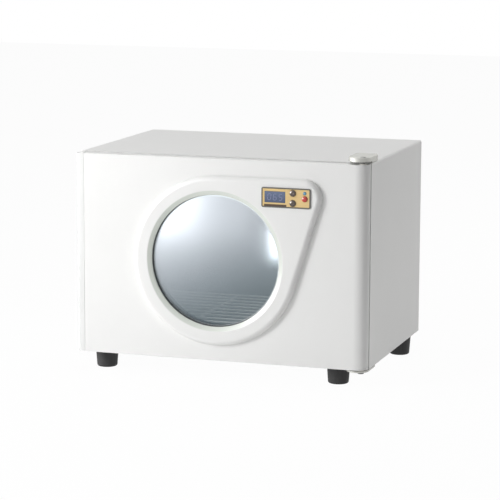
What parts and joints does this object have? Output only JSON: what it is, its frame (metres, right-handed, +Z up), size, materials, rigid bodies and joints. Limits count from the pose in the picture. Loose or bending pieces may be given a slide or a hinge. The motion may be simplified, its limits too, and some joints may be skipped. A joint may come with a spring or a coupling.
{
  "type": "blanket warming cabinet",
  "caption": "Countertop warming cabinet with a hinged door, domed round window in a teardrop bezel, small control panel, heated chamber with wire rack and rubber feet.",
  "frame": {"origin": "on the floor under the middle of the whole object", "axes": "+X to the right of someone facing the door, +Y to the back, +Z up"},
  "size_m": [0.45, 0.3372, 0.3408],
  "materials": {
    "white_enamel": "powder coat, satin",
    "white_moulding": "moulded, soft gloss",
    "grip_moulding": "moulded, satin",
    "gasket_rubber": "matt",
    "stainless": "brushed",
    "satin_nickel": "satin",
    "zinc_steel": "zinc plated",
    "foot_rubber": "matt",
    "seal_rubber": "matt",
    "foam": "open foam",
    "heater_mat": "matt",
    "black_plastic": "satin",
    "circuit_board": "lacquered",
    "magnet": "plain",
    "dome_glass": "half-mirrored",
    "clear_glass": "polished",
    "panel_frame": "satin",
    "gold_facia": "satin",
    "display": "gloss",
    "blue_lamp": "gloss",
    "bush_plastic": "satin",
    "dark_chrome": "polished",
    "red_plastic": "gloss"
  },
  "bodies": {
    "cabinet": {"outer_wrap": "white_enamel", "base_pan": "zinc_steel", "rear_panel": "white_enamel", "front_frame": "white_moulding", "chamber_liner": "stainless", "insulation_top": "foam", "insulation_bottom": "foam", "insulation_left": "foam", "insulation_right": "foam", "insulation_rear": "foam", "floor_heater": "heater_mat", "temperature_sensor": "stainless", "thermal_cutout": "black_plastic", "power_board": "circuit_board", "power_inlet": "black_plastic", "wire_rack": "stainless", "rack_rail_left": "stainless", "rack_rail_right": "stainless", "catch_magnet": "magnet", "top_hinge_bracket": "satin_nickel", "top_hinge_pin": "zinc_steel", "lower_hinge_bracket": "satin_nickel", "lower_hinge_pin": "zinc_steel", "foot_front_left": "foot_rubber", "foot_front_right": "foot_rubber", "foot_rear_left": "foot_rubber", "foot_rear_right": "foot_rubber", "foot_screw_front_left": "zinc_steel", "foot_screw_front_right": "zinc_steel", "foot_screw_rear_left": "zinc_steel", "foot_screw_rear_right": "zinc_steel", "top_hinge_screw_rear": "zinc_steel", "top_hinge_screw_front": "zinc_steel", "lower_hinge_screw_rear": "zinc_steel", "lower_hinge_screw_front": "zinc_steel", "rear_screw_1": "zinc_steel", "rear_screw_2": "zinc_steel", "rear_screw_3": "zinc_steel", "rear_screw_4": "zinc_steel"},
    "door": {"door_outer_panel": "white_moulding", "door_inner_panel": "white_enamel", "door_insulation": "foam", "door_gasket": "gasket_rubber", "door_edge_grip": "grip_moulding", "teardrop_bezel": "white_moulding", "window_seal": "seal_rubber", "window_dome": "dome_glass", "window_inner_pane": "clear_glass", "control_frame": "panel_frame", "control_facia": "gold_facia", "display_lens": "display", "control_board": "circuit_board", "indicator_lamp": "blue_lamp", "top_hinge_bush": "bush_plastic", "lower_hinge_bush": "bush_plastic", "catch_plate": "zinc_steel"},
    "up_key": {"up_button": "dark_chrome"},
    "down_key": {"down_button": "dark_chrome"},
    "power_key": {"power_button": "red_plastic"}
  },
  "joints": [
    {"name": "door_hinge", "type": "hinge", "parent": "cabinet", "child": "door", "pos_m": [0.2155, -0.1454, 0.1795], "axis": [0, 0, 1], "range_deg": [0, 110]},
    {"name": "up_press", "type": "slide", "parent": "door", "child": "up_key", "axis": [0, 1, 0], "range_m": [0, 0.0012], "stiffness_N_per_m": 500},
    {"name": "down_press", "type": "slide", "parent": "door", "child": "down_key", "axis": [0, 1, 0], "range_m": [0, 0.0012], "stiffness_N_per_m": 500},
    {"name": "power_press", "type": "slide", "parent": "door", "child": "power_key", "axis": [0, 1, 0], "range_m": [0, 0.0012], "stiffness_N_per_m": 500}
  ]
}
